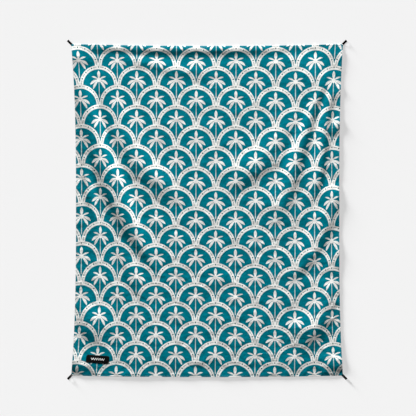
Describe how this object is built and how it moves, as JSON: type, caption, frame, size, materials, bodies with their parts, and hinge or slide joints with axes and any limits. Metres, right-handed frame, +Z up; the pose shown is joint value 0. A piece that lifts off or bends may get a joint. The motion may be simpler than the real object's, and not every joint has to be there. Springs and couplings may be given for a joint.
{
  "type": "camp blanket",
  "caption": "Camp blanket laid flat: printed scallop-and-palm face over thin wadding and a coated backing, topstitched all round, with a fold-up tape peg loop at each corner.",
  "frame": {"origin": "on the ground under the middle of the blanket as it lies flat", "axes": "+Z up from the ground, +Y along the length from the foot edge to the head edge, +X across the width to the right; the palms stand upright along +Y and the label patch is at the foot left corner"},
  "size_m": [1.548, 1.878, 0.0068],
  "materials": {
    "printed_face": "matte brushed polyester, teal with a cream scallop and palm print",
    "wadding": "matte non-woven",
    "coated_backing": "satin coated ripstop",
    "loop_tape": "matte ribbed tape",
    "label_weave": "satin woven label",
    "face_thread": "satin polyester thread",
    "black_thread": "satin polyester thread",
    "seam_thread": "satin polyester thread"
  },
  "bodies": {
    "blanket": {"face_fabric": "printed_face", "padding": "wadding", "backing_fabric": "coated_backing", "construction_seam": "seam_thread", "edge_needle_thread": "face_thread", "edge_bobbin_thread": "black_thread", "label_patch": "label_weave", "label_stitching": "black_thread", "loop_tail_head_left": "loop_tape", "bar_tack_head_left": "black_thread", "loop_tail_head_right": "loop_tape", "bar_tack_head_right": "black_thread", "loop_tail_foot_left": "loop_tape", "bar_tack_foot_left": "black_thread", "loop_tail_foot_right": "loop_tape", "bar_tack_foot_right": "black_thread"},
    "stake_loop_head_left": {"stake_loop_head_left": "loop_tape"},
    "stake_loop_head_right": {"stake_loop_head_right": "loop_tape"},
    "stake_loop_foot_left": {"stake_loop_foot_left": "loop_tape"},
    "stake_loop_foot_right": {"stake_loop_foot_right": "loop_tape"}
  },
  "joints": [
    {"name": "stake_loop_head_left_fold", "type": "hinge", "parent": "blanket", "child": "stake_loop_head_left", "pos_m": [-0.75092, 0.91592, 0.0012], "axis": [0.7071, 0.7071, 0], "range_deg": [0, 135]},
    {"name": "stake_loop_head_right_fold", "type": "hinge", "parent": "blanket", "child": "stake_loop_head_right", "pos_m": [0.75092, 0.91592, 0.0012], "axis": [0.7071, -0.7071, 0], "range_deg": [0, 135]},
    {"name": "stake_loop_foot_left_fold", "type": "hinge", "parent": "blanket", "child": "stake_loop_foot_left", "pos_m": [-0.75092, -0.91592, 0.0012], "axis": [-0.7071, 0.7071, 0], "range_deg": [0, 135]},
    {"name": "stake_loop_foot_right_fold", "type": "hinge", "parent": "blanket", "child": "stake_loop_foot_right", "pos_m": [0.75092, -0.91592, 0.0012], "axis": [-0.7071, -0.7071, 0], "range_deg": [0, 135]}
  ]
}
